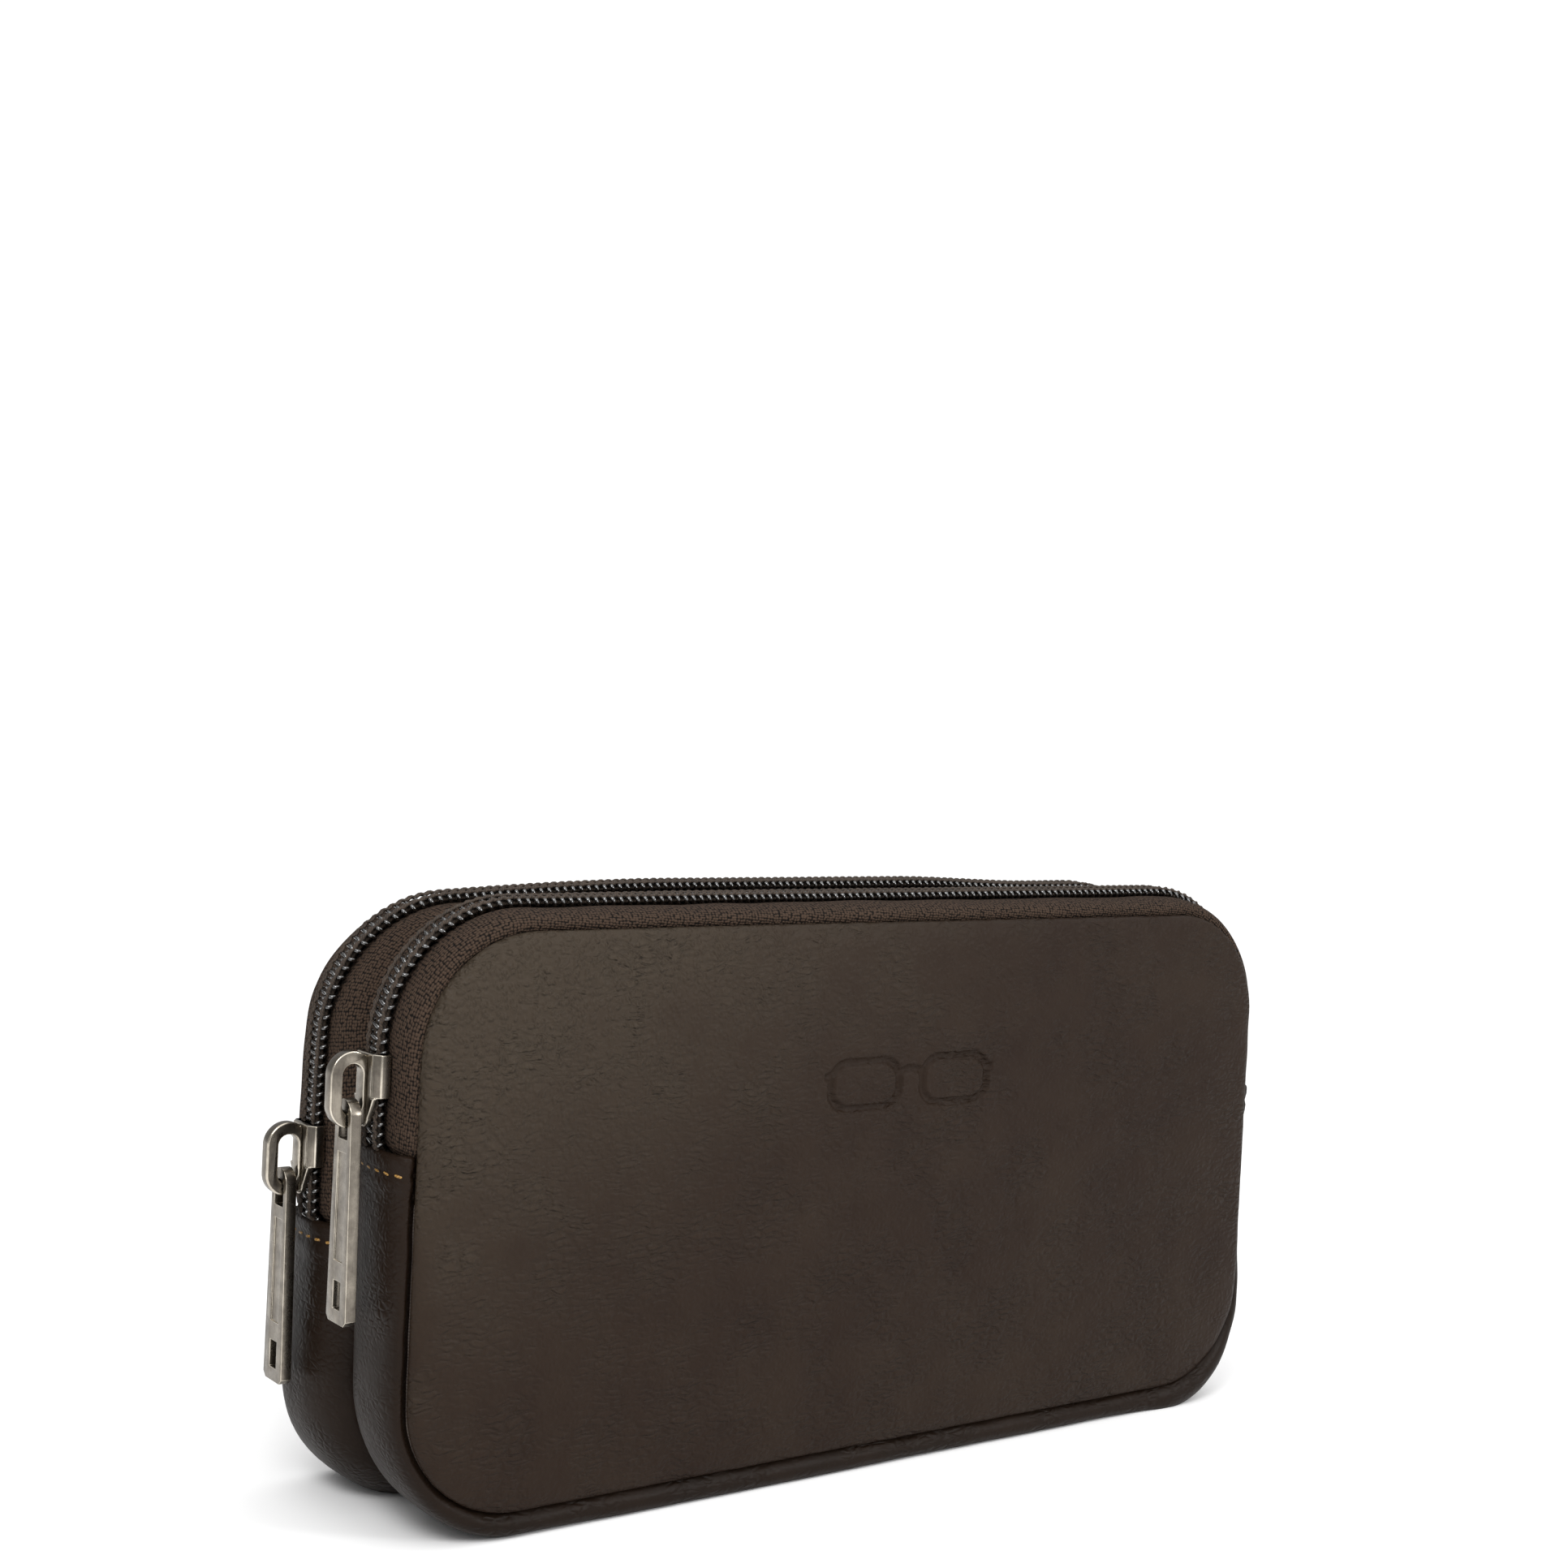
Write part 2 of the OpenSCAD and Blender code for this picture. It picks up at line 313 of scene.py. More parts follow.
def apply_modifier(piece, kind, **settings):
    make_active(piece)
    modifier = piece.modifiers.new(kind.lower(), kind)
    for key, value in settings.items():
        setattr(modifier, key, value)
    bpy.ops.object.modifier_apply(modifier=modifier.name)


def finish_piece(piece, material, body="case", smooth=None):
    """Gives a piece its finish and the body that it moves with."""
    if material is not None:
        cover(piece, material)
    make_active(piece)
    if smooth is None:
        bpy.ops.object.shade_smooth()
    else:
        bpy.ops.object.shade_smooth_by_angle(angle=math.radians(smooth))
    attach(piece, body)
    print(piece.name, "has", len(piece.data.polygons), "faces")
    return piece


def soft_noise(points, size, seed=0.0):
    """Smooth values from about -1 to 1, in lumps of about the given size."""
    shift = Vector((seed, seed * 1.7 + 3, seed * 0.3 - 5))
    return np.array([noise.noise(Vector(p) / size + shift) for p in points.tolist()])


# %% [markdown]
# ## Strips sewn round the case
#
# The section is the shape of a strip's cross cut, a smooth line through a few points given as
# (out, depth) in millimetres, from the panel's side to the middle of the case. A strip is that
# section carried along the seam. Columns lie closer together at its two ends, where folded
# leather turns in on itself within less than a millimetre.

# %% Strip helper
END_COLUMNS = np.array([0, 0.06, 0.15, 0.3, 0.5, 0.8, 1.2, 1.8, 2.5, 3.3, 4.2, 5.2]) * MM
EVEN_FROM = 6.4 * MM
COLUMN_STEP = 1.4 * MM


def smooth_line(points, count):
    """Evenly spaced places on a smooth curve through the points, and the curve's length."""
    p = np.array(points, float) * MM
    p = np.vstack([2 * p[0] - p[1], p, 2 * p[-1] - p[-2]])
    t = np.linspace(0, 1, 24, endpoint=False)[:, None]
    parts = []
    for a, b, c, d in zip(p, p[1:], p[2:], p[3:]):
        parts.append(0.5 * (2 * b + (c - a) * t + (2 * a - 5 * b + 4 * c - d) * t**2
                            + (3 * b - a - 3 * c + d) * t**3))
    fine = np.vstack(parts + [p[-2:-1]])
    length = np.concatenate([[0], np.cumsum(np.hypot(*np.diff(fine, axis=0).T))])
    even = np.linspace(0, length[-1], count)
    return np.stack([np.interp(even, length, fine[:, k]) for k in (0, 1)], axis=1), length[-1]


def outward_of(line):
    """The direction out of the case at each place of a section."""
    slope = np.gradient(line, axis=0)
    slope /= np.hypot(*slope.T)[:, None]
    return np.stack([-slope[:, 1], slope[:, 0]], axis=1)


def flat_size(places, column, row):
    """Mean width and mean length of a bent strip, which is what it was cut to when flat."""
    shape = (column.max() + 1, row.max() + 1, 3)
    grid = places[np.lexsort((row, column))].reshape(shape)
    across = np.linalg.norm(np.diff(grid, axis=1), axis=2).sum(axis=1).mean()
    along = np.linalg.norm(np.diff(grid, axis=0), axis=2).sum(axis=0).mean()
    return float(across), float(along)


def sewn_strip(name, start, end, section, side, rows, lift, base_section=None):
    """A flat strip bent to the section and sewn round the case from start to end."""
    line, width = smooth_line(section, rows + 1)
    middle = np.linspace(start + EVEN_FROM, end - EVEN_FROM, round((end - start) / COLUMN_STEP))
    stops = np.concatenate([start + END_COLUMNS, middle, (end - END_COLUMNS)[::-1]])
    piece, column, row = flat_grid(name, len(stops) - 1, rows)
    along, out, depth = stops[column], line[row, 0], line[row, 1]
    facing = outward_of(line)[row]
    if base_section is not None:
        base_line = smooth_line(base_section, rows + 1)[0]
        low = soft_step((STRAIGHT_X + ARC - abs(along)) / ARC)
        out = out * (1 - low) + base_line[row, 0] * low
        depth = depth * (1 - low) + base_line[row, 1] * low
    across = row / rows * width
    raised = lift(along, across, np.minimum(along - start, end - along))
    out, depth = out + raised * facing[:, 0], depth + raised * facing[:, 1]
    places = round_the_case(along, out, depth, side)
    places[:, 2] = np.maximum(places[:, 2], 0)
    bend_grid(piece, places, along, across)
    if side == REAR:
        piece.data.flip_normals()
    return piece, flat_size(places, column, row)


print("strip helper ready")

# %% [markdown]
# ## Full-grain leather
#
# The case is cow leather, vegetable tanned, dyed dark brown and waxed by hand. Dye sinks
# unevenly, so the colour is cloudy. The grain is a net of fine creases, drawn out sideways,
# over pebbles about a millimetre wide. Real pores are a tenth of a millimetre wide. They are
# drawn at 0.4 mm here, because finer ones wouldn't show. Wax leaves the high places a little
# glossier than the low ones. A soft noise bends the net, since skin has grain that runs, not a
# honeycomb.

# %% Leather finish
MIX_A, MIX_B, MIX_RESULT = 6, 7, 2  # where a Mix node keeps its two colours and their mix
# Painted shade: the near-black that is mixed into the leather's creases
PAINTED_CREASE_SHADE = "#0c0805"


def leather(name, dark, light, painted_sheen, roughness, pebble, depth, crease):
    """Waxed leather: dark and light dyes, a paler painted sheen colour, pebble width in mm, pebble
    and crease depth.
    """
    material, tree, shader = new_material(name)
    place = add_node(tree, "ShaderNodeTexCoord").outputs["Object"]
    split = add_node(tree, "ShaderNodeSeparateXYZ", {"Vector": place})
    bend = add_node(tree, "ShaderNodeTexNoise", {"Vector": place, "Scale": 1 / 0.006, "Detail": 3})
    shift = add_node(tree, "ShaderNodeVectorMath",
                     {0: bend.outputs["Color"], 1: (0.003, 0.003, 0.003), 2: place},
                     operation="MULTIPLY_ADD")
    # Fine creases: a net of thin lines, drawn out sideways and broken up in soft patches
    laid = add_node(tree, "ShaderNodeMapping",
                    {"Vector": shift.outputs["Vector"], "Scale": (0.42, 0.8, 1.25)})
    net = add_node(tree, "ShaderNodeTexVoronoi",
                   {"Vector": laid.outputs["Vector"], "Scale": 1 / (1.35 * MM)},
                   feature="DISTANCE_TO_EDGE")
    line = add_node(tree, "ShaderNodeMapRange",
                    {"Value": net.outputs["Distance"], "From Max": 0.3, "To Min": 1.0,
                     "To Max": 0.0}, interpolation_type="SMOOTHSTEP")
    patches = add_node(tree, "ShaderNodeTexNoise",
                       {"Vector": place, "Scale": 1 / 0.009, "Detail": 3})
    broken = add_node(tree, "ShaderNodeMapRange",
                      {"Value": patches.outputs["Fac"], "From Min": 0.34, "From Max": 0.62})
    creases = add_node(tree, "ShaderNodeMath",
                       {0: line.outputs["Result"], 1: broken.outputs["Result"]},
                       operation="MULTIPLY")
    # Pebbles, which stand out most up at the left, and fade in an uneven border
    pebbles = add_node(tree, "ShaderNodeTexVoronoi",
                       {"Vector": shift.outputs["Vector"], "Scale": 1 / (pebble * MM),
                        "Smoothness": 0.35},
                       feature="SMOOTH_F1")
    round_top = add_node(tree, "ShaderNodeMapRange",
                         {"Value": pebbles.outputs["Distance"], "From Max": 0.7, "To Min": 1.0,
                          "To Max": 0.0}, interpolation_type="SMOOTHSTEP")
    up_left = add_node(tree, "ShaderNodeMath", {0: split.outputs["X"], 1: -0.62,
                                                2: split.outputs["Z"]},
                       operation="MULTIPLY_ADD")
    wobbly = add_node(tree, "ShaderNodeMath", {0: patches.outputs["Fac"], 1: 0.05,
                                               2: up_left.outputs["Value"]},
                      operation="MULTIPLY_ADD")
    slack = add_node(tree, "ShaderNodeMapRange",
                     {"Value": wobbly.outputs["Value"], "From Min": 0.102, "From Max": 0.158,
                      "To Min": 0.25, "To Max": 1.0}, interpolation_type="SMOOTHSTEP")
    grain = add_node(tree, "ShaderNodeMath",
                     {0: round_top.outputs["Result"], 1: slack.outputs["Result"]},
                     operation="MULTIPLY")
    pores = add_node(tree, "ShaderNodeTexNoise",
                     {"Vector": place, "Scale": 1 / (0.4 * MM), "Detail": 2})
    height = add_node(tree, "ShaderNodeMath",
                      {0: pores.outputs["Fac"], 1: 0.15, 2: grain.outputs["Value"]},
                      operation="MULTIPLY_ADD")
    swell = add_node(tree, "ShaderNodeTexNoise",
                     {"Vector": laid.outputs["Vector"], "Scale": 1 / 0.012, "Detail": 2})
    waves = add_node(tree, "ShaderNodeBump",
                     {"Height": swell.outputs["Fac"], "Strength": 0.6, "Distance": 1.1 * MM})
    pressed = add_node(tree, "ShaderNodeBump",
                       {"Height": creases.outputs["Value"], "Strength": 1.0,
                        "Distance": crease * MM, "Normal": waves.outputs["Normal"]},
                       invert=True)
    bump = add_node(tree, "ShaderNodeBump",
                    {"Height": height.outputs["Value"], "Strength": 1.0, "Distance": depth * MM,
                     "Normal": pressed.outputs["Normal"]})
    # Cloudy dye, with painted shade that darkens every crease. Painted sheen: the paler patch up at
    # the left
    #  stands in for the soft highlight that waxed leather shows there, fixed in its colour.
    cloud = add_node(tree, "ShaderNodeTexNoise",
                     {"Vector": place, "Scale": 1 / 0.025, "Detail": 7, "Roughness": 0.7})
    dye = add_node(tree, "ShaderNodeValToRGB", {"Fac": cloud.outputs["Fac"]})
    dye.color_ramp.elements[0].position, dye.color_ramp.elements[0].color = 0.32, srgb(dark)
    dye.color_ramp.elements[1].position, dye.color_ramp.elements[1].color = 0.72, srgb(light)
    # Painted sheen: the paler colour is mixed in up at the left, where a soft highlight falls
    sheen_mask = add_node(tree, "ShaderNodeMapRange",
                     {"Value": wobbly.outputs["Value"], "From Min": 0.085, "From Max": 0.175,
                      "To Max": 0.95}, interpolation_type="SMOOTHSTEP")
    sheen_painted = add_node(tree, "ShaderNodeMix",
                       {"Factor": sheen_mask.outputs["Result"], MIX_A: dye.outputs["Color"],
                        MIX_B: srgb(painted_sheen)}, data_type="RGBA")
    # Painted shade: every crease is darkened a sixth of the way towards near black
    crease_shade = add_node(tree, "ShaderNodeMath",
                     {0: creases.outputs["Value"], 1: 0.16}, operation="MULTIPLY")
    shaded = add_node(tree, "ShaderNodeMix",
                      {"Factor": crease_shade.outputs["Value"], MIX_A: sheen_painted.outputs[MIX_RESULT],
                       MIX_B: srgb(PAINTED_CREASE_SHADE)}, data_type="RGBA")
    gloss = add_node(tree, "ShaderNodeMapRange",
                     {"Value": height.outputs["Value"], "To Min": roughness + 0.06,
                      "To Max": roughness - 0.06})
    set_inputs(tree, shader, {"Base Color": shaded.outputs[MIX_RESULT],
                              "Roughness": gloss.outputs["Result"],
                              "Normal": bump.outputs["Normal"], "Specular IOR Level": 0.1})
    return material


# The third colour is the painted sheen; the gusset's equals its light dye, so it shows none
panel_leather = leather("waxed_leather_panel", "#20150e", "#281e16", "#393128",
                        0.46, 0.95, 0.3, 0.2)
gusset_leather = leather("waxed_leather_gusset", "#170f09", "#1f150e", "#1f150e",
                         0.42, 0.9, 0.1, 0.1)
print("leather ready")

# %% [markdown]
# ## Woven tape, coils and thread
#
# Zip tape is polyester in a plain weave. Its knobs lie half a millimetre apart and follow the
# tape, so its pattern reads the UV map. Coils are nylon monofilament, black and polished, and a
# clear coat on the shader stands for that polish. Thread is two-ply bonded nylon. Its plies are
# drawn as slanted ribs across its length, which is what the eye sees of a twist.

# %% Tape, coil and thread finishes
def weave(name, dark, light, knob, depth, roughness):
    """Plain weave on the UV map: each crossing is a small knob, of the width given in mm, and the
    low places between knobs are painted dark as shade.
    """
    material, tree, shader = new_material(name)
    flat = add_node(tree, "ShaderNodeTexCoord").outputs["UV"]
    place = add_node(tree, "ShaderNodeTexCoord").outputs["Object"]
    slant = add_node(tree, "ShaderNodeMapping",
                     {"Vector": flat, "Rotation": (0, 0, 0.12), "Scale": (0.8, 1.0, 1.0)})
    knobs = add_node(tree, "ShaderNodeTexVoronoi",
                     {"Vector": slant.outputs["Vector"], "Scale": 1 / (knob * MM),
                      "Randomness": 0.42, "Smoothness": 0.25},
                     voronoi_dimensions="2D", feature="SMOOTH_F1")
    dome = add_node(tree, "ShaderNodeMapRange",
                    {"Value": knobs.outputs["Distance"], "From Max": 0.7,
                     "To Min": 1.0, "To Max": 0.0})
    fuzz = add_node(tree, "ShaderNodeTexNoise",
                    {"Vector": place, "Scale": 1 / (0.7 * MM), "Detail": 3, "Roughness": 0.7})
    height = add_node(tree, "ShaderNodeMath",
                      {0: fuzz.outputs["Fac"], 1: 0.8, 2: dome.outputs["Result"]},
                      operation="MULTIPLY_ADD")
    # Painted shade: the colour runs from near black in the low places between the knobs to the
    # light tone on their tops
    colour = add_node(tree, "ShaderNodeValToRGB", {"Fac": height.outputs["Value"]})
    colour.color_ramp.elements[0].position, colour.color_ramp.elements[0].color = 0.55, srgb(dark)
    colour.color_ramp.elements[1].position, colour.color_ramp.elements[1].color = 1.0, srgb(light)
    bump = add_node(tree, "ShaderNodeBump",
                    {"Height": height.outputs["Value"], "Strength": 1.0, "Distance": depth * MM})
    set_inputs(tree, shader, {"Base Color": colour.outputs["Color"], "Roughness": roughness,
                              "Normal": bump.outputs["Normal"], "Specular IOR Level": 0.12})
    return material


WAVE_RATE = 20  # a Wave texture of scale 1 runs through 20 radians in one metre


def wave_scale(pitch):
    """The scale at which a Wave texture has one band for each pitch, given in mm."""
    return 1 / (pitch * MM) / WAVE_RATE * 2 * math.pi


def spun(name, dark, light, ply, roughness):
    """Thread or filament, with its plies lying across it at a slant, their pitch in mm, and painted
    shade in the grooves between them.
    """
    material, tree, shader = new_material(name)
    flat = add_node(tree, "ShaderNodeTexCoord").outputs["UV"]
    turned = add_node(tree, "ShaderNodeMapping", {"Vector": flat, "Rotation": (0, 0, 0.6)})
    plies = add_node(tree, "ShaderNodeTexWave",
                     {"Vector": turned.outputs["Vector"], "Scale": wave_scale(ply),
                      "Distortion": 0.4},
                     bands_direction="X", wave_profile="SIN")
    cloud = add_node(tree, "ShaderNodeTexNoise",
                     {"Vector": flat, "Scale": 1 / (3 * MM), "Detail": 3})
    both = add_node(tree, "ShaderNodeMath",
                    {0: plies.outputs["Fac"], 1: 0.6, 2: cloud.outputs["Fac"]},
                    operation="MULTIPLY_ADD")
    # Painted shade: darker in the grooves between the plies; the noise adds random tone as well
    colour = add_node(tree, "ShaderNodeValToRGB", {"Fac": both.outputs["Value"]})
    colour.color_ramp.elements[0].position, colour.color_ramp.elements[0].color = 0.35, srgb(dark)
    colour.color_ramp.elements[1].position, colour.color_ramp.elements[1].color = 1.0, srgb(light)
    bump = add_node(tree, "ShaderNodeBump",
                    {"Height": plies.outputs["Fac"], "Strength": 0.5, "Distance": 0.05 * MM})
    set_inputs(tree, shader, {"Base Color": colour.outputs["Color"], "Roughness": roughness,
                              "Normal": bump.outputs["Normal"]})
    return material


tape_cloth = weave("woven_polyester_tape", "#0c0806", "#45372d", 0.5, 0.3, 0.85)
coil_nylon = spun("moulded_nylon_coil", "#050404", "#100d0b", 1.2, 0.16)
set_inputs(coil_nylon.node_tree, coil_nylon.node_tree.nodes["Principled BSDF"],
           {"Specular IOR Level": 1.0, "Coat Weight": 1.0, "Coat Roughness": 0.1})
hem_thread = spun("bonded_ochre_thread", "#6b4a20", "#a8803c", 0.42, 0.5)
coil_thread = spun("bonded_brown_thread", "#150f0a", "#3b2e22", 0.42, 0.75)
print("cloth, coil and thread ready")

# %% [markdown]
# ## Antique nickel
#
# The sliders and pulls are die cast zinc with a nickel plate that is darkened and then tumbled,
# which rubs the edges bright again. So one recipe gives two finishes: a darker one, with soft
# patches of tarnish and fine brushing along its height, and a brighter, smoother one for the
# rubbed edges. A metal keeps the default IOR, and its colour alone sets its tone.

# %% Antique nickel finish
def antique_nickel(name, dark, light, rough_from, rough_to):
    """Plated metal, from dark to light, with the roughness of each."""
    material, tree, shader = new_material(name)
    place = add_node(tree, "ShaderNodeTexCoord").outputs["Object"]
    stretch = add_node(tree, "ShaderNodeMapping", {"Vector": place, "Scale": (1, 1, 0.08)})
    brushing = add_node(tree, "ShaderNodeTexNoise",
                        {"Vector": stretch.outputs["Vector"], "Scale": 1 / (0.12 * MM),
                         "Detail": 3, "Roughness": 0.6})
    tarnish = add_node(tree, "ShaderNodeTexNoise",
                       {"Vector": place, "Scale": 1 / (4 * MM), "Detail": 6, "Roughness": 0.65})
    mixed = add_node(tree, "ShaderNodeMath",
                     {0: brushing.outputs["Fac"], 1: 0.25, 2: tarnish.outputs["Fac"]},
                     operation="MULTIPLY_ADD")
    colour = add_node(tree, "ShaderNodeValToRGB", {"Fac": mixed.outputs["Value"]})
    colour.color_ramp.elements[0].position, colour.color_ramp.elements[0].color = 0.42, srgb(dark)
    colour.color_ramp.elements[1].position, colour.color_ramp.elements[1].color = 0.78, srgb(light)
    rough = add_node(tree, "ShaderNodeMapRange",
                     {"Value": mixed.outputs["Value"], "From Min": 0.4, "From Max": 0.8,
                      "To Min": rough_from, "To Max": rough_to})
    bump = add_node(tree, "ShaderNodeBump",
                    {"Height": brushing.outputs["Fac"], "Strength": 0.25, "Distance": 0.02 * MM})
    set_inputs(tree, shader, {"Base Color": colour.outputs["Color"],
                              "Roughness": rough.outputs["Result"],
                              "Normal": bump.outputs["Normal"], "Metallic": 1.0})
    return material


nickel = antique_nickel("antique_nickel_plate", "#5f5952", "#8a8378", 0.36, 0.22)
worn_nickel = antique_nickel("antique_nickel_worn_edge", "#a39b8e", "#cfc7b9", 0.3, 0.18)
print("nickel ready")

# %% [markdown]
# ## The leather panels
#
# Each face is one piece of leather over a thin foam sheet, so it is flat in the middle, softly
# crowned, and rolls over all round into the seam. A grid with its four corner squares carried
# to quarter circles keeps every row parallel to the edge, so the roll is one list of insets and
# depths. The columns and rows lie closer together where the maker's mark is pressed in.

# %% Panel shapes
ROLL = np.array([  # steps from the edge, how far in each one ends up, and its depth, in mm
    (0.0, 1.5, 19.7), (0.5, 0.7, 19.8), (1.0, 0.2, 20.15), (1.4, 0.0, 20.6), (1.8, 0.03, 21.1),
    (2.3, 0.28, 21.6), (2.9, 0.75, 21.95), (3.6, 1.45, 22.2), (4.6, 2.6, 22.4),
    (5.8, 4.2, 22.55), (8.0, 7.0, 22.72), (12.0, 11.6, 22.9), (20.0, 20.0, 23.05),
    (36.0, 36.0, 23.2), (47.0, 47.0, 23.25)]) * MM
HALF_X, HALF_Z = (panel_high.x - panel_low.x) / 2, (TOP_Z - BASE_Z) / 2
MIDDLE_Z = (BASE_Z + TOP_Z) / 2
EDGE_STOPS = np.array([0, 0.25, 0.5, 0.75, 1, 1.2, 1.4, 1.6, 1.8, 2.05, 2.3, 2.6, 2.9, 3.25, 3.6,
                       4.1, 4.6, 5.2, 5.8, 6.8, 8, 9.4, 10.8, 12.2, 13.7, 15.2, 16.8, 18.4]) * MM


def fine_lines(half, fine_from, fine_to, fine=0.35 * MM, coarse=1.6 * MM):
    """Grid lines from edge to edge: close at both edges and between two given places."""
    inner = half - CORNER
    spans = [(-inner, fine_from, coarse), (fine_from, fine_to, fine), (fine_to, inner, coarse)]
    lines = [np.linspace(a, b, round((b - a) / c), endpoint=False) for a, b, c in spans]
    return np.concatenate([EDGE_STOPS - half] + lines + [[inner], (half - EDGE_STOPS)[::-1]])


def panel_grid(name, side, xs, zs, roll):
    """A flat grid with round corners, standing in the panel's plane, and its places."""
    piece, column, row = flat_grid(name, len(xs) - 1, len(zs) - 1)
    x, z = xs[column], zs[row]
    step = np.minimum(HALF_X - abs(x), HALF_Z - abs(z))
    inset = np.where(step < CORNER, np.interp(step, roll[:, 0], roll[:, 1]), step)
    depth = np.interp(step, roll[:, 0], roll[:, 2])
    u, v = abs(x) - (HALF_X - CORNER), abs(z) - (HALF_Z - CORNER)
    corner = (u > 0) & (v > 0)
    big, small = np.maximum(u, v), np.minimum(u, v)
    turn = np.where(corner, small / np.where(big > 0, big, 1) * math.pi / 4, 0)
    turn = np.where(v > u, math.pi / 2 - turn, turn)
    reach = CORNER - inset
    side_x = np.where((u >= v) & (u > 0), HALF_X - inset, abs(x))
    side_z = np.where((v > u) & (v > 0), HALF_Z - inset, abs(z))
    new_x = np.where(corner, HALF_X - CORNER + reach * np.cos(turn), side_x) * np.sign(x)
    new_z = np.where(corner, HALF_Z - CORNER + reach * np.sin(turn), side_z) * np.sign(z)
    places = np.stack([new_x + MIDDLE_X, side * depth, new_z + MIDDLE_Z], axis=1)
    return piece, places, step


MARK_X, MARK_Z = 3.4 * MM, 18.4 * MM
panel_xs = fine_lines(HALF_X, MARK_X - 20 * MM, MARK_X + 20 * MM)
panel_zs = fine_lines(HALF_Z, MARK_Z - 5.5 * MM, MARK_Z + 5.5 * MM)
print("panel grid:", len(panel_xs), "by", len(panel_zs), "lines")

# %% [markdown]
# ## The pressed mark
#
# A case like this carries a mark that a warm brass die has pressed into the leather. Here it
# is a plain pair of spectacles: two round-cornered rims and a bridge, 38 mm wide. The mark is
# a distance to those outlines, and the leather sinks where that distance is under half a line
# width, with soft shoulders, because leather can't hold a sharp edge.

# %% The mark's depth
MARK_DEPTH = 0.65 * MM


def rounded_box(x, z, half_x, half_z, corner):
    """The distance to the outline of a box with round corners, less than 0 inside it."""
    dx, dz = abs(x) - half_x + corner, abs(z) - half_z + corner
    outside = np.hypot(np.maximum(dx, 0), np.maximum(dz, 0))
    return outside + np.minimum(np.maximum(dx, dz), 0) - corner


def mark_depth(x, z):
    """How far the die has pressed the leather in, in metres."""
    x, z = x / MM, z / MM
    rims = abs(rounded_box(abs(x) - 10.2, z, 7.6, 4.2, 3.6))
    bridge = np.where(abs(x) < 2.7, abs(z - 1.6 - 0.11 * (2.7**2 - x**2)), 9)
    arms = np.where((abs(x) > 17.7) & (abs(x) < 19), abs(z - 1.9), 9)
    line = np.minimum(np.minimum(rims, bridge), arms)
    return MARK_DEPTH * np.clip((0.8 - line) / 0.3, 0, 1)


print("the mark is pressed in by", round(MARK_DEPTH / MM, 2), "mm")

# %% [markdown]
# ## Front and rear panel
#
# Leather over foam is never quite flat. Three sizes of smooth noise lift it: slow swells,
# smaller ones, and tight puckers where the seam gathers it. The top has sunk a little, as it
# does on a soft case that stands for long. Only the front panel carries the mark. Solidify
# then gives the skin its thickness, inwards.

# %% Front and rear panel
LEATHER_THICKNESS = 1.0 * MM
PANEL_SUNK = 1.1 * MM


def face_panel(name, side, marked):
    piece, places, step = panel_grid(name, side, panel_xs, panel_zs, ROLL)
    seed = 0.0 if side == FRONT else 7.0
    inner = np.clip((step - 2 * MM) / (12 * MM), 0, 1)
    slow = soft_noise(places, 42 * MM, seed) * 0.32 * MM
    mid = soft_noise(places, 13 * MM, seed + 2) * 0.12 * MM
    near_edge = np.clip(step / (2 * MM), 0, 1) * np.clip((14 * MM - step) / (9 * MM), 0, 1)
    pucker = soft_noise(places, 5.5 * MM, seed + 4) * 0.16 * MM
    lift = inner * (slow + mid) + near_edge * pucker
    if marked:
        x, z = places[:, 0] - MIDDLE_X - MARK_X, places[:, 2] - MIDDLE_Z - MARK_Z
        lift -= mark_depth(x, z)
    places[:, 1] += side * lift
    places[:, 2] -= sag(places[:, 0], places[:, 2], side)
    places[:, 2] -= PANEL_SUNK * soft_step((places[:, 2] - 45 * MM) / (45 * MM))
    bend_grid(piece, places, places[:, 0], places[:, 2])
    if side == REAR:
        piece.data.flip_normals()
    apply_modifier(piece, "SOLIDIFY", thickness=LEATHER_THICKNESS, offset=-1,
                   use_even_offset=False)
    return finish_piece(piece, panel_leather)


front_panel_leather = face_panel("front_panel_leather", FRONT, True)
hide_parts("front_panel")
rear_panel_leather = face_panel("rear_panel_leather", REAR, False)
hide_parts("rear_panel")

# %% [markdown]
# ## Gussets
#
# The wall of each compartment is one long strip of softer leather, sewn to the panel on one
# edge and into the middle seam on the other. Glasses inside keep it bulging, so its section is
# a fat bow with a tight roll at the panel and a deep crease at the middle. Its two ends are
# folded over and stitched down across the zip. The fold is a swelling over the last 5 mm, a
# nose that turns in, and a shallow trough that the thread has pulled.

# %% Gusset strips
GUSSET = [(-1.6, 18.4), (-0.5, 18.9), (0.4, 19.8), (1.1, 20.2), (1.9, 19.4), (2.7, 16.8),
          (3.0, 12.0), (2.7, 8.0), (1.5, 4.2), (-0.4, 1.6), (-2.2, 0.6), (-3.8, 0.4)]
GUSSET_BASE = [(-1.6, 18.6), (-0.5, 19.5), (0.7, 21.2), (2.4, 21.9), (4.0, 20.9), (4.6, 17.6),
               (4.6, 12.0), (4.4, 8.0), (2.9, 4.2), (0.4, 1.6), (-1.8, 0.6), (-3.8, 0.4)]
HEM_Z = {FRONT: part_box("front_gusset")[1].z, REAR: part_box("rear_gusset")[1].z}
STITCH_Z = {FRONT: HEM_Z[FRONT] - 3.2 * MM, REAR: HEM_Z[REAR] - 3.0 * MM}


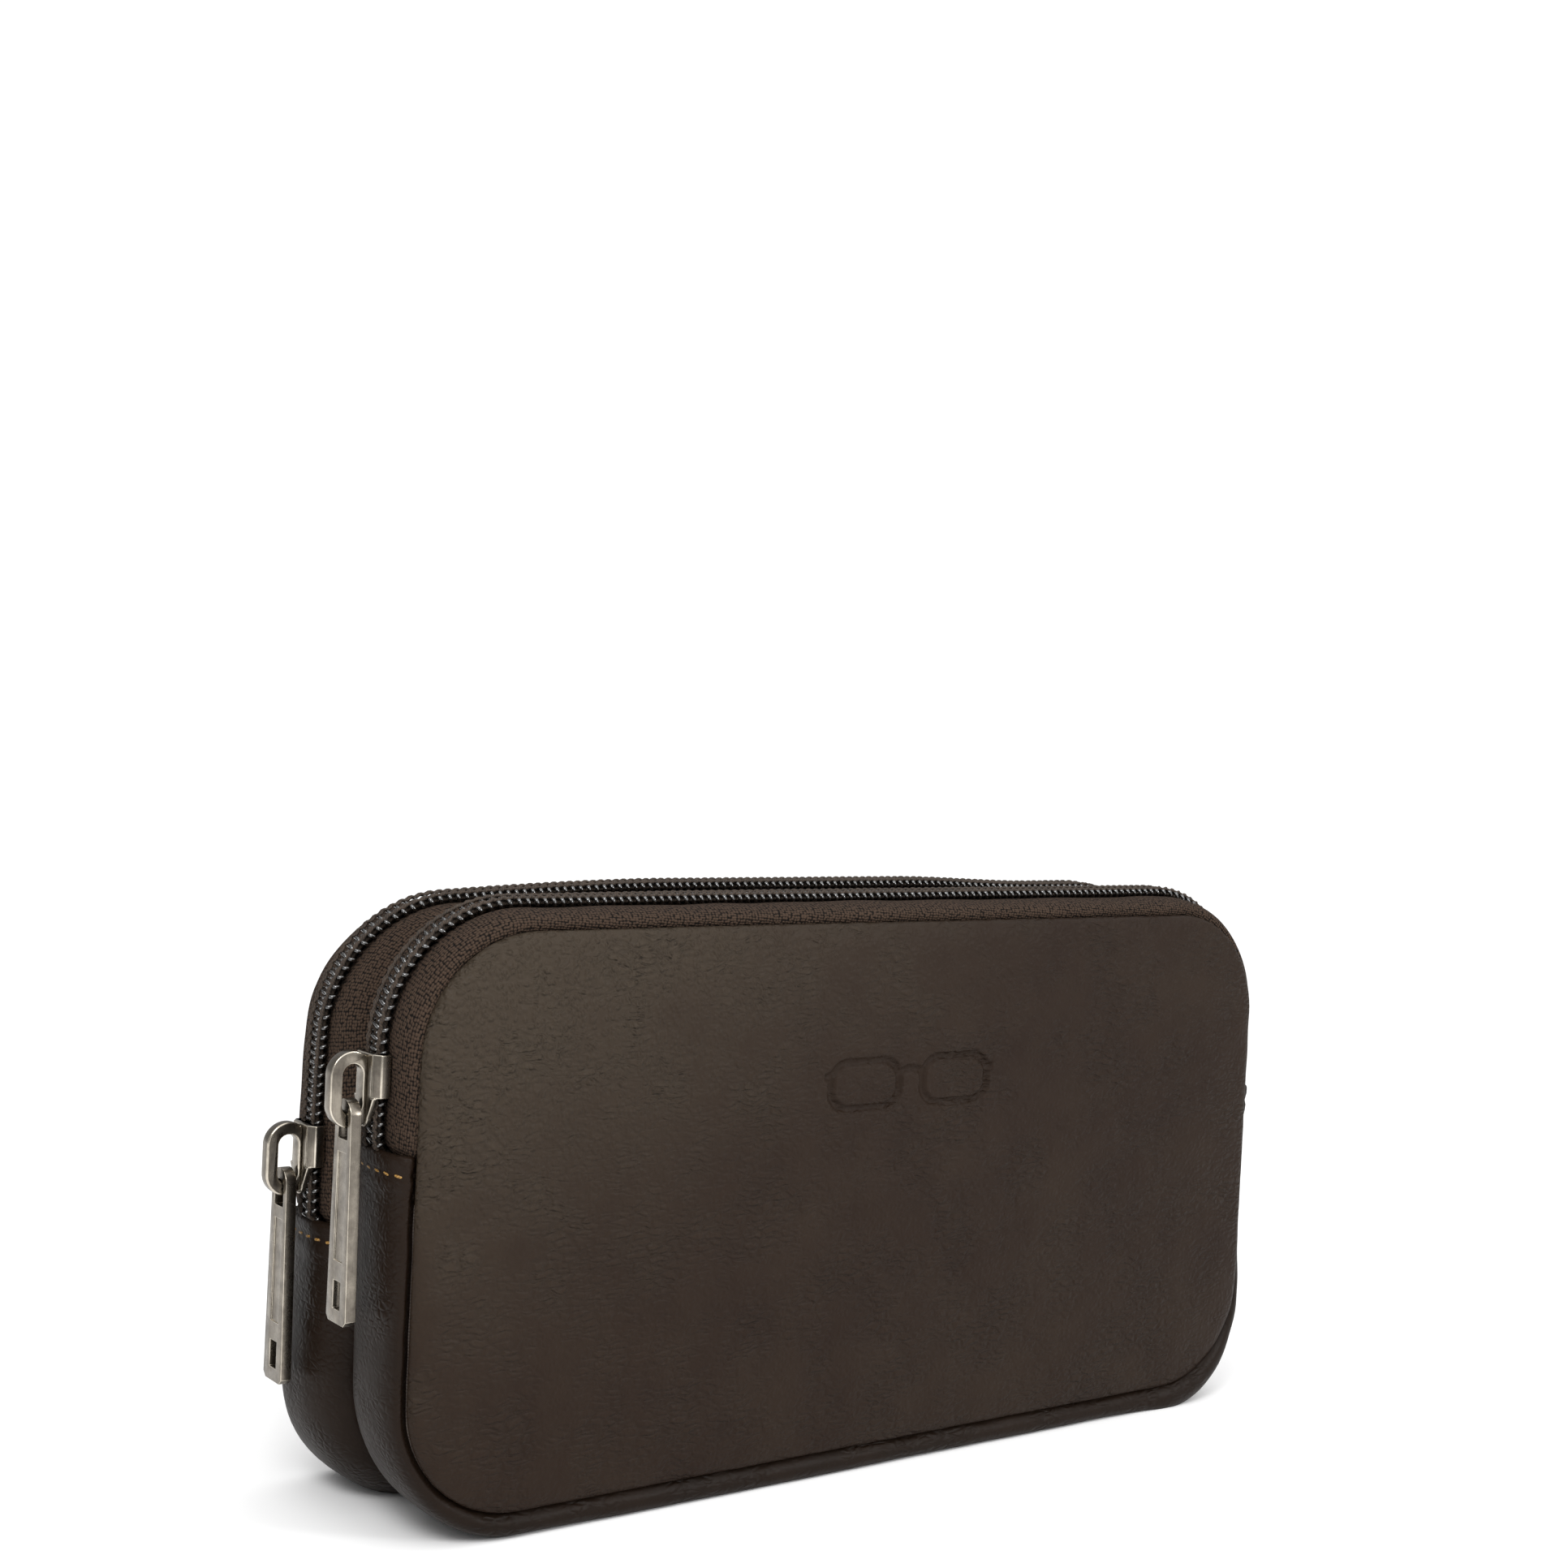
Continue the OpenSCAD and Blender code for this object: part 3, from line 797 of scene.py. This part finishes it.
def gusset_lift(side):
    seed = 11.0 if side == FRONT else 23.0
    hem, seam = along_at_height(HEM_Z[side]), along_at_height(STITCH_Z[side])

    def lift(along, across, to_end):
        flat = np.stack([along, across, 0 * along], axis=1)
        edge = np.minimum(across, across.max() - across)
        near = np.exp(-((edge - 2.5 * MM) / (2.6 * MM)) ** 2)
        pucker = soft_noise(flat * [1, 0.35, 1], 5.0 * MM, seed) * 0.24 * MM * near
        slow = soft_noise(flat, 24 * MM, seed + 3) * 0.35 * MM * np.clip(edge / (5 * MM), 0, 1)
        fold = 0.4 * MM * np.clip((6.2 * MM - to_end) / (1.6 * MM), 0, 1)
        nose = np.clip(1 - to_end / (0.7 * MM), 0, 1)
        fold -= 1.0 * MM * (1 - np.sqrt(1 - np.minimum(nose, 0.999) ** 2))
        trough = 0.32 * MM * np.exp(-((abs(along) - seam) / (0.9 * MM)) ** 2)
        corner = np.exp(-((abs(along) - STRAIGHT_X - 0.45 * ARC) / (15 * MM)) ** 2)
        full = corner * np.where(along > 0, -0.3 if side == FRONT else 2.2, 1.9) * MM
        full *= soft_step(edge / (5 * MM))
        return pucker + slow + fold - trough + full

    return lift


def gusset(name, side):
    end = along_at_height(HEM_Z[side])
    piece, flat = sewn_strip(name, -end, end, GUSSET, side, rows=34, lift=gusset_lift(side),
                             base_section=GUSSET_BASE)
    apply_modifier(piece, "SOLIDIFY", thickness=LEATHER_THICKNESS, offset=-1,
                   use_even_offset=False)
    return finish_piece(piece, gusset_leather)


front_gusset_leather = gusset("front_gusset_leather", FRONT)
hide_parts("front_gusset")
rear_gusset_leather = gusset("rear_gusset_leather", REAR)
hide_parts("rear_gusset")

# %% [markdown]
# ## Zip tapes
#
# Two woven tapes carry the coils. The outer one comes out from under the panel and swells over
# the piping of the seam, the inner one dives into the crease between the compartments. Both
# end under the gusset's folded ends, where they are pressed down to make room for the fold.
# They are thin strips of the same kind as the gusset.

# %% Tape strips
OUTER_TAPE = [(-2.2, 19.3), (-1.0, 20.3), (0.2, 20.6), (1.2, 19.7), (1.9, 17.7), (2.1, 15.4),
              (1.8, 13.4), (1.5, 12.0)]
INNER_TAPE = [(1.5, 10.7), (1.9, 8.7), (1.8, 6.4), (0.9, 4.1), (-0.9, 1.8), (-2.6, 0.7),
              (-3.8, 0.4)]
TAPE_THICKNESS = 0.55 * MM
UNDER_HEM = 7 * MM


def tape_lift(side, seed):
    def lift(along, across, to_end):
        flat = np.stack([along, across, 0 * along], axis=1)
        loose = np.clip((across.max() - across) / (3 * MM), 0, 1)
        wave = soft_noise(flat * [1, 0.4, 1], 9 * MM, seed) * 0.22 * MM
        return wave * loose - 1.3 * MM * soft_step((8.3 * MM - to_end) / (2.2 * MM))

    return lift


def zip_tape(name, side, section, seed):
    start = along_at_height(HEM_Z[side]) - UNDER_HEM
    end = AROUND - start
    piece, flat = sewn_strip(name, start, end, section, side, rows=16, lift=tape_lift(side, seed))
    apply_modifier(piece, "SOLIDIFY", thickness=TAPE_THICKNESS, offset=-1, use_even_offset=False)
    return finish_piece(piece, tape_cloth)


for side, prefix, seed in ((FRONT, "front", 31.0), (REAR, "rear", 41.0)):
    outer = zip_tape(prefix + "_outer_tape_cloth", side, OUTER_TAPE, seed)
    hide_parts(prefix + "_outer_tape")
    inner = zip_tape(prefix + "_inner_tape_cloth", side, INNER_TAPE, seed + 5)
    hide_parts(prefix + "_inner_tape")

# %% [markdown]
# ## Wires and threads
#
# A coil row is one nylon wire wound into a flat spring, and a stitch is a short thread. Both
# are a flat grid rolled up: columns run along the path, rows run round the wire, and the two
# long edges are merged. The frame that carries the round section is passed on from point to
# point, so the wire never twists by itself.

# %% Rolled wire helper
def unit(vectors):
    return vectors / np.linalg.norm(vectors, axis=-1, keepdims=True)


def rolled_wire(name, points, radius, sides=6):
    """A flat grid rolled into a wire along the points, with its seam and ends closed."""
    points = np.asarray(points, float)
    radius = np.broadcast_to(radius, len(points)).copy()
    radius[[0, -1]] = 0
    tangent = unit(np.gradient(points, axis=0))
    first = np.cross(tangent[0], (0.31, 0.87, 0.38))
    normals = [first / np.linalg.norm(first)]
    for t in tangent[1:]:
        carried = normals[-1] - t * normals[-1].dot(t)
        normals.append(carried / math.sqrt(carried.dot(carried)))
    normal = np.array(normals)
    other = np.cross(tangent, normal)
    piece, column, row = flat_grid(name, len(points) - 1, sides)
    turn = -2 * math.pi * row / sides
    ring = np.cos(turn)[:, None] * normal[column] + np.sin(turn)[:, None] * other[column]
    gone = np.concatenate([[0], np.cumsum(np.linalg.norm(np.diff(points, axis=0), axis=1))])
    bend_grid(piece, points[column] + radius[column, None] * ring, gone[column],
              row / sides * 2 * math.pi * radius.max())
    make_active(piece)
    bpy.ops.object.mode_set(mode="EDIT")
    bpy.ops.mesh.select_all(action="SELECT")
    bpy.ops.mesh.remove_doubles(threshold=1e-7)
    bpy.ops.object.mode_set(mode="OBJECT")
    return piece


def join(pieces, name):
    deselect_all()
    for piece in pieces:
        piece.select_set(True)
    bpy.context.view_layer.objects.active = pieces[0]
    bpy.ops.object.join()
    pieces[0].name = pieces[0].data.name = name
    return pieces[0]


print("wire helper ready")

# %% [markdown]
# ## Coils and the thread that holds them
#
# A size 5 coil has one loop every 1.6 mm. Each row lies on the edge of its tape, and the
# loops' heads pass between those of the other row, which is half a loop further on. Brown
# thread holds every row down. Its two plies ride over each loop, dip between loops and cross on
# the way, which gives the braid that runs along the zip. A core cord runs inside every row, as
# on a real coil, so that nobody can look through the loops. All of it dives under the hems.

# %% Coil rows
PITCH = 1.6 * MM
CHAIN = 11.3 * MM
WIRE_RADIUS, PLY_RADIUS, CORE_RADIUS = 0.36 * MM, 0.27 * MM, 0.42 * MM
POINTS_PER_LOOP = 12
HALF_LOOP_ON = {1: 0.5, -1: 0}  # the outer row, hand 1, is half a loop further on


def coil_start(side):
    return along_at_height(HEM_Z[side]) - 4 * MM


def dive(along, start, drop):
    """How far a coil row has sunk, so that its two ends lie under the hems."""
    to_end = np.minimum(along - start, AROUND - start - along)
    return drop * soft_step(3 * np.clip(1 - to_end / (4.6 * MM), 0, 1))


def coil_row(name, side, hand):
    start = coil_start(side)
    loops = round((AROUND - 2 * start) / PITCH)
    t = np.arange(loops * POINTS_PER_LOOP + 1) / POINTS_PER_LOOP
    turn = 2 * math.pi * t
    along = start + (t + HALF_LOOP_ON[hand]) * PITCH
    swing = np.cos(turn)
    depth = CHAIN + hand * (1.12 - 1.32 * swing) * MM
    flat_leg = np.tanh(2.2 * np.sin(turn)) / math.tanh(2.2)
    out = (2.65 + 0.52 * flat_leg) * MM - dive(along, start, 1.5 * MM)
    return rolled_wire(name, round_the_case(along, out, depth, side), WIRE_RADIUS, sides=6)


def coil_stitching(name, side, hand):
    start = coil_start(side)
    t = np.arange(0, (AROUND - 2 * start) / PITCH, 0.2)
    along = start + t * PITCH
    over = np.cos(2 * math.pi * t + HALF_LOOP_ON[hand] * 2 * math.pi)
    threads = []
    for ply in (0, 1):
        cross = np.cos(math.pi * t + ply * math.pi)
        depth = CHAIN + hand * (1.75 + 0.26 * cross) * MM
        out = (3.5 + 0.12 * over + 0.1 * np.sin(math.pi * t + ply * math.pi)) * MM
        places = round_the_case(along, out - dive(along, start, 1.8 * MM), depth, side)
        threads.append(rolled_wire(name, places, PLY_RADIUS, sides=5))
    along = start + np.arange(0, (AROUND - 2 * start) / PITCH, 0.8) * PITCH
    depth = CHAIN + hand * 1.2 * MM + 0 * along
    core = round_the_case(along, 2.6 * MM - dive(along, start, 1.5 * MM), depth, side)
    threads.append(rolled_wire(name, core, CORE_RADIUS, sides=6))
    return join(threads, name)


for side, prefix in ((FRONT, "front"), (REAR, "rear")):
    for hand, row_name in ((1, "outer"), (-1, "inner")):
        coil = coil_row(f"{prefix}_{row_name}_coil_wire", side, hand)
        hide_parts(f"{prefix}_{row_name}_coil")
        finish_piece(coil, coil_nylon)
        stitching = coil_stitching(f"{prefix}_{row_name}_coil_stitching", side, hand)
        finish_piece(stitching, coil_thread)

# %% [markdown]
# ## Hem stitches
#
# A waxed ochre thread sews each folded end down. Only the top threads show, seven short beads
# across the gusset, each pulled into the leather at both ends. One bead is a short thick wire
# that follows the gusset's own section, with its ends sunk below the surface.

# %% Hem stitches
SECTION_POINTS, BEAD_POINTS, BEADS = 400, 11, 7
STITCH_PITCH, BEAD_LENGTH, BEAD_RADIUS = 2.8 * MM, 1.75 * MM, 0.25 * MM


def pick(values, place):
    """The values in two columns, read at places that may fall between two rows."""
    return np.stack([np.interp(place, range(len(values)), values[:, i]) for i in (0, 1)], axis=1)


def hem_stitches(name, side):
    line, width = smooth_line(GUSSET, SECTION_POINTS)
    facing = outward_of(line)
    bow = np.linspace(-1, 1, BEAD_POINTS)
    beads = []
    for end in (1, -1):
        for k in range(BEADS):
            middle = width / 2 + (k - BEADS // 2) * STITCH_PITCH
            across = middle + np.linspace(-BEAD_LENGTH / 2, BEAD_LENGTH / 2, BEAD_POINTS)
            place = across / width * (SECTION_POINTS - 1)
            at = pick(line, place) + pick(facing, place) * ((0.02 - 0.5 * bow**4) * MM)[:, None]
            slant = np.linspace(-0.14, 0.14, BEAD_POINTS) * MM * (1 if k % 2 else 0.6)
            along = end * (along_at_height(STITCH_Z[side]) + slant)
            points = round_the_case(along, at[:, 0], at[:, 1], side)
            beads.append(rolled_wire(name, points, BEAD_RADIUS, sides=8))
    return join(beads, name)


for side, prefix in ((FRONT, "front"), (REAR, "rear")):
    stitches = hem_stitches(prefix + "_hem_thread", side)
    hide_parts(prefix + "_hem_stitches")
    finish_piece(stitches, hem_thread)

# %% [markdown]
# ## Sliders, bridges and pulls
#
# The metal parts have the right shape in CAD, but cast and tumbled metal has no knife edges.
# Each one is a merged copy of its CAD node, cleaned to flat faces, with every sharp edge
# rounded by a bevel of about a quarter of a millimetre. The bevel carries the rubbed finish,
# and that bright line is what catches the light.

# %% Metal parts
BEVEL_SEGMENTS = 3


def tumbled(node, name, radius, body):
    """A metal part with its edges rounded by a radius in mm, on the body it moves with."""
    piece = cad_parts[node].copy()
    piece.data = piece.data.copy()
    piece.name = piece.data.name = name
    for key in list(piece.keys()):
        if key.startswith("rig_"):
            del piece[key]
    piece.parent = None
    bpy.context.scene.collection.objects.link(piece)
    make_active(piece)
    bpy.ops.object.mode_set(mode="EDIT")
    bpy.ops.mesh.select_all(action="SELECT")
    bpy.ops.mesh.remove_doubles(threshold=1e-6)
    bpy.ops.mesh.dissolve_limited(angle_limit=math.radians(3))
    bpy.ops.object.mode_set(mode="OBJECT")
    cover(piece, nickel, worn_nickel)
    apply_modifier(piece, "BEVEL", width=radius * MM, segments=BEVEL_SEGMENTS, limit_method="ANGLE",
                   angle_limit=math.radians(32), use_clamp_overlap=True, material=1)
    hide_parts(node)
    return finish_piece(piece, None, body, smooth=35)


for prefix in ("front", "rear"):
    tumbled(prefix + "_slider_body", prefix + "_slider_metal", 0.22, prefix + "_slider")
    tumbled(prefix + "_slider_bridge", prefix + "_bridge_metal", 0.3, prefix + "_slider")
    tumbled(prefix + "_pull_tab", prefix + "_pull_metal", 0.28, prefix + "_pull")

# %% [markdown]
# ## The pieces inside
#
# Foam, linings and the dividing board are hidden while the case is shut, and their CAD shapes
# are right as they are: flat cut sheets. They keep their meshes and get real finishes. The
# lining's threads are drawn half a millimetre apart, twice as coarse as on a real lining, so
# that the weave would show.

# %% Inner finishes
def foam(name):
    material, tree, shader = new_material(name)
    place = add_node(tree, "ShaderNodeTexCoord").outputs["Object"]
    cells = add_node(tree, "ShaderNodeTexVoronoi", {"Vector": place, "Scale": 1 / (0.6 * MM)})
    # Painted shade: the foam is darker in the pits round each cell's middle, where the bump sinks
    # it
    tint = add_node(tree, "ShaderNodeValToRGB", {"Fac": cells.outputs["Distance"]})
    tint.color_ramp.elements[0].color = srgb("#55504b")
    tint.color_ramp.elements[1].color = srgb("#8b857d")
    bump = add_node(tree, "ShaderNodeBump",
                    {"Height": cells.outputs["Distance"], "Strength": 0.7, "Distance": 0.2 * MM})
    set_inputs(tree, shader, {"Base Color": tint.outputs["Color"], "Roughness": 0.95,
                              "Normal": bump.outputs["Normal"]})
    return material


def cloth_in_place(name, dark, light, thread):
    """Plain weave on Object coordinates, for the flat linings that keep their CAD mesh."""
    material, tree, shader = new_material(name)
    place = add_node(tree, "ShaderNodeTexCoord").outputs["Object"]
    waves = [add_node(tree, "ShaderNodeTexWave",
                      {"Vector": place, "Scale": wave_scale(thread), "Distortion": 0.5},
                      bands_direction=way) for way in ("X", "Z")]
    height = add_node(tree, "ShaderNodeMath",
                      {0: waves[0].outputs["Fac"], 1: waves[1].outputs["Fac"]})
    # Painted shade: the lining is darker in the dips between its threads and lighter on their tops
    tint = add_node(tree, "ShaderNodeValToRGB", {"Fac": height.outputs["Value"]})
    tint.color_ramp.elements[0].color = srgb(dark)
    tint.color_ramp.elements[1].color = srgb(light)
    bump = add_node(tree, "ShaderNodeBump",
                    {"Height": height.outputs["Value"], "Strength": 0.6, "Distance": 0.08 * MM})
    set_inputs(tree, shader, {"Base Color": tint.outputs["Color"], "Roughness": 0.9,
                              "Normal": bump.outputs["Normal"]})
    return material


foam_finish = foam("cut_polyurethane_foam")
lining_finish = cloth_in_place("plain_woven_lining", "#3a3330", "#5d534c", 0.5)
for node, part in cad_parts.items():
    if node.endswith("_padding"):
        cover(part, foam_finish)
    elif node.endswith("_lining") or node == "divider_board":
        cover(part, lining_finish)
print("inner pieces finished")
